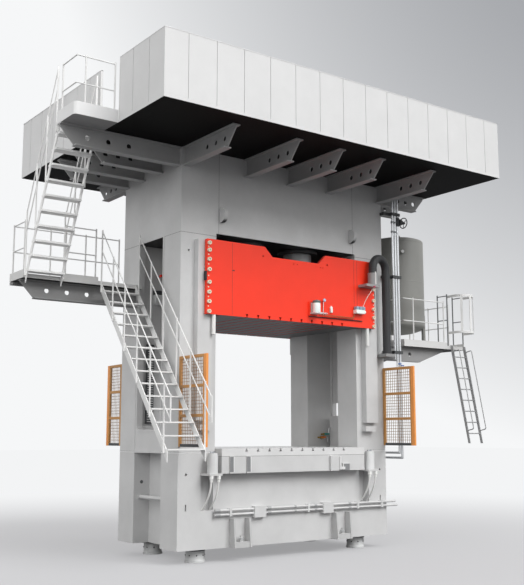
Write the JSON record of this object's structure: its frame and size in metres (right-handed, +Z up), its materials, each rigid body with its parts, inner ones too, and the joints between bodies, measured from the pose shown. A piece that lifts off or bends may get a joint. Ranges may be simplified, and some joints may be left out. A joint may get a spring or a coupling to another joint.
{
  "type": "hydraulic press",
  "caption": "Hydraulic press with a red slide between box columns, a bolster with T-slots, a roof machine room, stairs, landings and a pressure tank on a platform",
  "frame": {"origin": "on the floor, in the middle of the four levelling feet", "axes": "+X to the right seen from the front, -Y towards the operator at the front, +Z up"},
  "size_m": [11.347, 6.765, 10.035],
  "materials": {
    "frame_paint": "satin light grey paint",
    "panel_paint": "satin pale grey paint on sheet panels",
    "stair_paint": "pale grey paint",
    "slide_paint": "bright red paint",
    "bare_steel": "machined steel",
    "polished_steel": "ground and plated",
    "dark_iron": "dark cast iron",
    "tank_paint": "mid grey paint",
    "motor_paint": "blue grey paint",
    "guard_paint": "orange paint",
    "bolt_paint": "ivory",
    "gib_bronze": "bronze sliding pads",
    "hose_black": "matt black hose jacket",
    "hose_white": "white hose jacket"
  },
  "bodies": {
    "frame": {"bed": "frame_paint", "column_left": "frame_paint", "column_right": "frame_paint", "crown": "frame_paint", "tie_rods": "bare_steel", "feet": "dark_iron", "bolster_box": "frame_paint", "bolster_plate": "bare_steel", "bolster_strips": "bare_steel", "guide_rails": "bare_steel", "cylinder_barrels": "bare_steel", "roof_deck": "panel_paint", "roof_wall_front": "panel_paint", "roof_wall_rear": "panel_paint", "roof_wall_left": "panel_paint", "roof_wall_right": "panel_paint", "roof_brackets": "frame_paint", "oil_tank": "tank_paint", "pump_motors": "motor_paint", "pumps": "dark_iron", "valve_manifold": "tank_paint", "control_cabinet": "panel_paint", "landing_deck": "stair_paint", "landing_brackets": "frame_paint", "landing_railing": "stair_paint", "lower_stair": "stair_paint", "lower_handrails": "stair_paint", "upper_stair": "stair_paint", "upper_handrails": "stair_paint", "top_platform": "panel_paint", "top_railing": "stair_paint", "tank_platform": "stair_paint", "tank_platform_brackets": "frame_paint", "tank_platform_railing": "stair_paint", "ladder": "stair_paint", "ladder_cage": "stair_paint", "pressure_tank": "tank_paint", "riser_pipes": "bare_steel", "pipe_clamps": "dark_iron", "control_valve": "dark_iron", "side_guards": "guard_paint", "bed_pipes": "bare_steel", "corner_cylinders": "bare_steel", "corner_hoses": "hose_white", "jack_brackets": "frame_paint", "hose_fixed_leg": "hose_black"},
    "slide": {"slide_body": "slide_paint", "slide_bolts": "bolt_paint", "contact_rods": "bare_steel", "plungers": "polished_steel", "slide_gibs": "gib_bronze", "lube_unit": "bare_steel", "hose_bracket": "bare_steel", "hose_moving_leg": "hose_black"},
    "hose_loop": {"hose_arch": "hose_black"},
    "handwheel": {"valve_handwheel": "dark_iron"},
    "level_fl": {"level_plunger_fl": "polished_steel"},
    "level_fr": {"level_plunger_fr": "polished_steel"},
    "level_rl": {"level_plunger_rl": "polished_steel"},
    "level_rr": {"level_plunger_rr": "polished_steel"}
  },
  "joints": [
    {"name": "slide_stroke", "type": "slide", "parent": "frame", "child": "slide", "axis": [0, 0, -1], "range_m": [0, 1.5], "deforming": ["hose_fixed_leg"]},
    {"name": "hose_roll", "type": "slide", "parent": "slide", "child": "hose_loop", "axis": [0, 0, 1], "range_m": [0, 0.75], "deforming": ["hose_moving_leg"]},
    {"name": "handwheel_turn", "type": "hinge", "parent": "frame", "child": "handwheel", "pos_m": [3.48, -1.44, 7.84], "axis": [1, 0, 0], "continuous": true},
    {"name": "level_lift_fl", "type": "slide", "parent": "frame", "child": "level_fl", "axis": [0, 0, 1], "range_m": [0, 0.2]},
    {"name": "level_lift_fr", "type": "slide", "parent": "frame", "child": "level_fr", "axis": [0, 0, 1], "range_m": [0, 0.2]},
    {"name": "level_lift_rl", "type": "slide", "parent": "frame", "child": "level_rl", "axis": [0, 0, 1], "range_m": [0, 0.2]},
    {"name": "level_lift_rr", "type": "slide", "parent": "frame", "child": "level_rr", "axis": [0, 0, 1], "range_m": [0, 0.2]}
  ],
  "couplings": [
    {"joint": "hose_roll", "follows": "slide_stroke", "ratio": 0.5}
  ]
}
